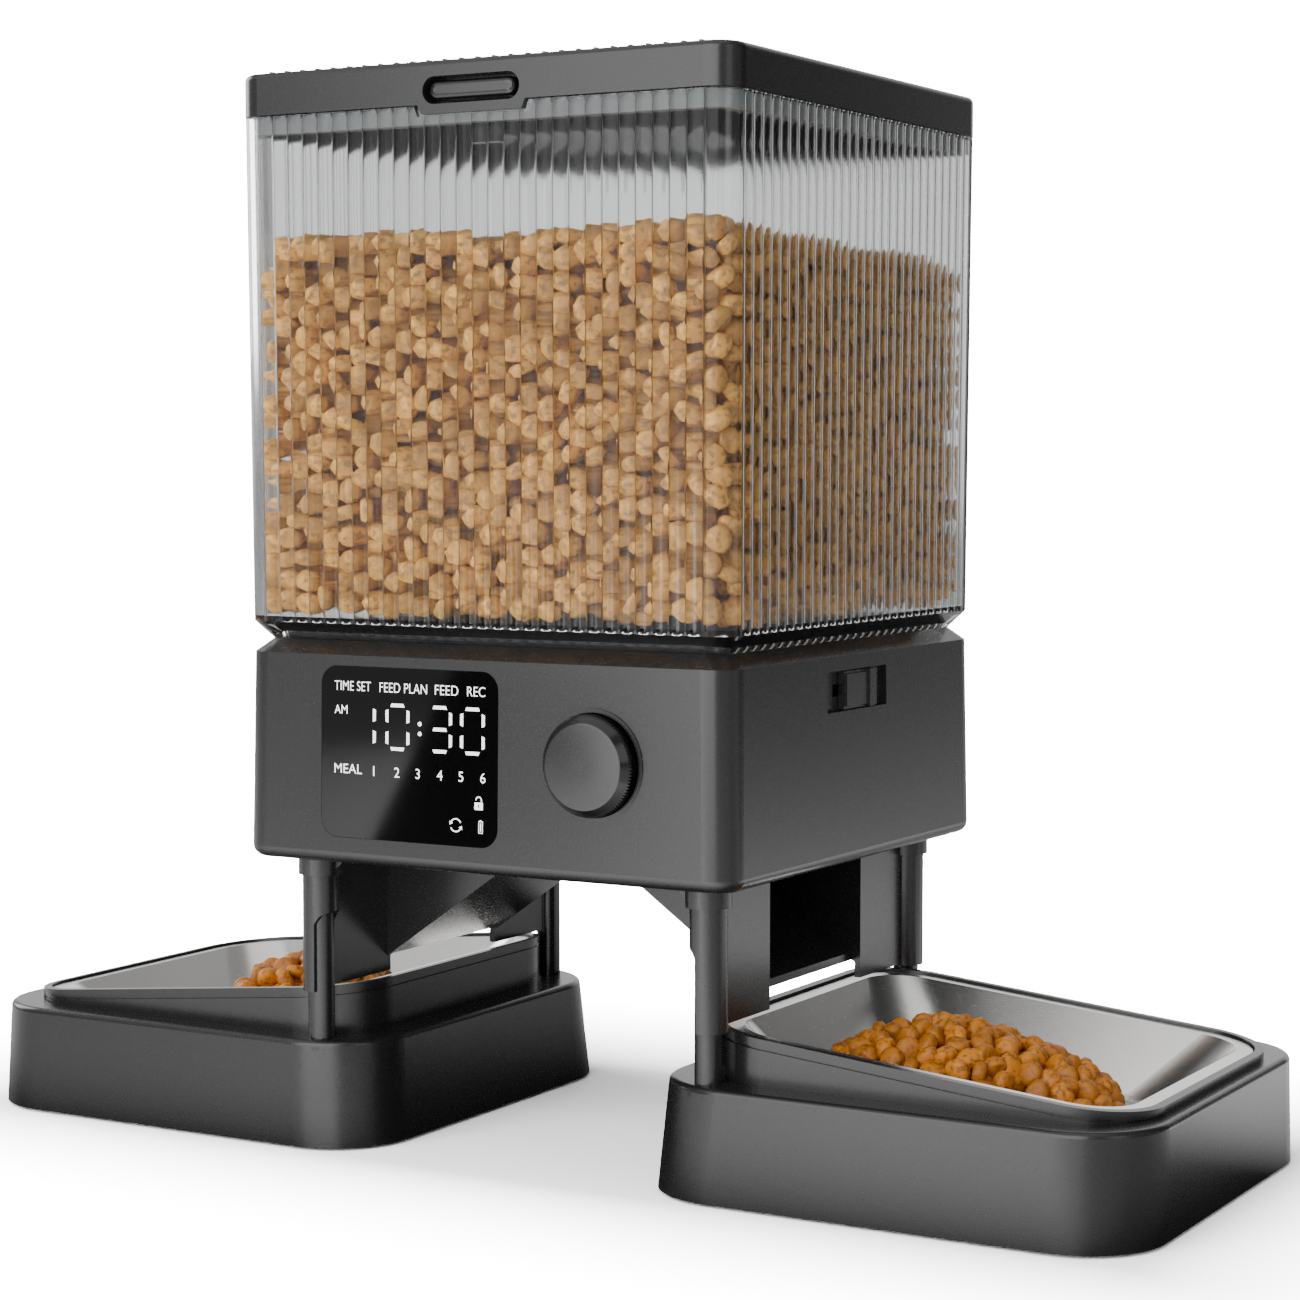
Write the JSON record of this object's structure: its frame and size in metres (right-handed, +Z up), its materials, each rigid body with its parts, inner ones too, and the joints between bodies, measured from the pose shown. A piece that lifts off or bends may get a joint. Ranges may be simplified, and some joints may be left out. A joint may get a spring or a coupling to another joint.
{
  "type": "automatic pet feeder",
  "caption": "Two-bowl dry food dispenser: fluted clear tank with hinged lid over a square motor body on posts, with sloping chutes to a steel bowl on each side.",
  "frame": {"origin": "on the floor, under the middle of the square body", "axes": "+X along the front face towards the right bowl, +Y towards the back, +Z up"},
  "size_m": [0.498, 0.2242, 0.406],
  "materials": {
    "black_abs": "satin moulded ABS",
    "clear_plastic": "clear moulded, fluted outside",
    "gloss_black": "gloss smoked panel",
    "stainless_steel": "pressed, fine satin",
    "silicone": "soft matt silicone",
    "rubber": "matt rubber",
    "circuit_board": "solder mask",
    "steel": "zinc plated",
    "acetal": "natural acetal",
    "bronze": "sintered bronze",
    "motor_can": "rolled steel can",
    "battery_jacket": "printed film jacket",
    "sachet_paper": "non-woven paper",
    "speaker_cone": "doped paper and steel frame"
  },
  "bodies": {
    "feeder": {"base_left": "black_abs", "base_plate_left": "black_abs", "base_plate_right": "black_abs", "base_right": "black_abs", "base_screws": "steel", "battery_box": "black_abs", "battery_cells": "battery_jacket", "body_bottom": "black_abs", "body_shell": "black_abs", "chassis_screws": "steel", "chute_bracket_left": "black_abs", "chute_bracket_right": "black_abs", "control_board": "circuit_board", "display_module": "circuit_board", "display_window": "gloss_black", "encoder_body": "acetal", "feed_housing": "black_abs", "gearbox_cover": "black_abs", "idler_axles": "steel", "knob_bezel": "black_abs", "motor": "motor_can", "post_front_left": "black_abs", "post_front_right": "black_abs", "post_rear_left": "black_abs", "post_rear_right": "black_abs", "post_screws": "steel", "power_socket": "acetal", "rubber_feet": "rubber", "shaft_bushes": "bronze", "speaker": "speaker_cone"},
    "tank": {"hopper_tank": "clear_plastic", "hopper_funnel": "black_abs"},
    "lid": {"lid_cover": "black_abs", "lid_gasket": "silicone", "desiccant_tray": "black_abs", "desiccant_sachet": "sachet_paper", "lid_hinge_pins": "steel", "lid_latch_springs": "steel"},
    "latch_button": {"lid_latch_bar": "black_abs"},
    "lock_slider": {"tank_lock_slider": "black_abs", "tank_lock_bolt": "black_abs"},
    "knob_switch": {"encoder_plunger": "acetal"},
    "knob": {"knob_cap": "black_abs", "encoder_shaft": "steel"},
    "feed_rotor": {"feed_wheel": "silicone", "stirrer": "acetal", "rotor_shaft": "steel", "drive_gear": "acetal"},
    "idler_first": {"idler_gear_first": "acetal"},
    "idler_second": {"idler_gear_second": "acetal"},
    "pinion": {"motor_pinion": "acetal", "motor_shaft": "steel"},
    "bowl_left": {"bowl_left": "stainless_steel"},
    "bowl_right": {"bowl_right": "stainless_steel"},
    "battery_door": {"battery_door": "black_abs"}
  },
  "joints": [
    {"name": "tank_lift", "type": "slide", "parent": "feeder", "child": "tank", "axis": [0, 0, 1], "range_m": [0, 0.25]},
    {"name": "lid_hinge", "type": "hinge", "parent": "tank", "child": "lid", "pos_m": [0, 0.10809, 0.3919], "axis": [-1, 0, 0], "range_deg": [0, 95]},
    {"name": "lid_latch_press", "type": "slide", "parent": "lid", "child": "latch_button", "axis": [0, 1, 0], "range_m": [0, 0.003], "stiffness_N_per_m": 600, "deforming": ["lid_latch_springs"]},
    {"name": "tank_lock_slide", "type": "slide", "parent": "feeder", "child": "lock_slider", "axis": [0, -1, 0], "range_m": [0, 0.014]},
    {"name": "knob_press", "type": "slide", "parent": "feeder", "child": "knob_switch", "axis": [0, 1, 0], "range_m": [0, 0.0006], "stiffness_N_per_m": 1500},
    {"name": "knob_turn", "type": "hinge", "parent": "knob_switch", "child": "knob", "pos_m": [0.05, -0.1, 0.1553], "axis": [0, 1, 0], "continuous": true},
    {"name": "feed_spin", "type": "hinge", "parent": "feeder", "child": "feed_rotor", "pos_m": [0, 0, 0.145], "axis": [0, 0, 1], "continuous": true},
    {"name": "idler_first_spin", "type": "hinge", "parent": "feeder", "child": "idler_first", "pos_m": [0, 0.0192, 0.135], "axis": [0, 0, 1], "continuous": true},
    {"name": "idler_second_spin", "type": "hinge", "parent": "feeder", "child": "idler_second", "pos_m": [0, 0.036, 0.13], "axis": [0, 0, 1], "continuous": true},
    {"name": "pinion_spin", "type": "hinge", "parent": "feeder", "child": "pinion", "pos_m": [0, 0.0568, 0.128], "axis": [0, 0, 1], "continuous": true},
    {"name": "bowl_left_tilt", "type": "hinge", "parent": "feeder", "child": "bowl_left", "pos_m": [-0.0777, 0, 0.05886], "axis": [0, 1, 0], "range_deg": [0, 12]},
    {"name": "bowl_right_tilt", "type": "hinge", "parent": "feeder", "child": "bowl_right", "pos_m": [0.0777, 0, 0.05886], "axis": [0, -1, 0], "range_deg": [0, 12]},
    {"name": "battery_door_swing", "type": "hinge", "parent": "feeder", "child": "battery_door", "pos_m": [0, -0.04675, 0.11385], "axis": [1, 0, 0], "range_deg": [0, 85]}
  ],
  "couplings": [
    {"joint": "idler_first_spin", "follows": "feed_spin", "ratio": -3},
    {"joint": "idler_second_spin", "follows": "feed_spin", "ratio": 7.5},
    {"joint": "pinion_spin", "follows": "feed_spin", "ratio": -25}
  ]
}
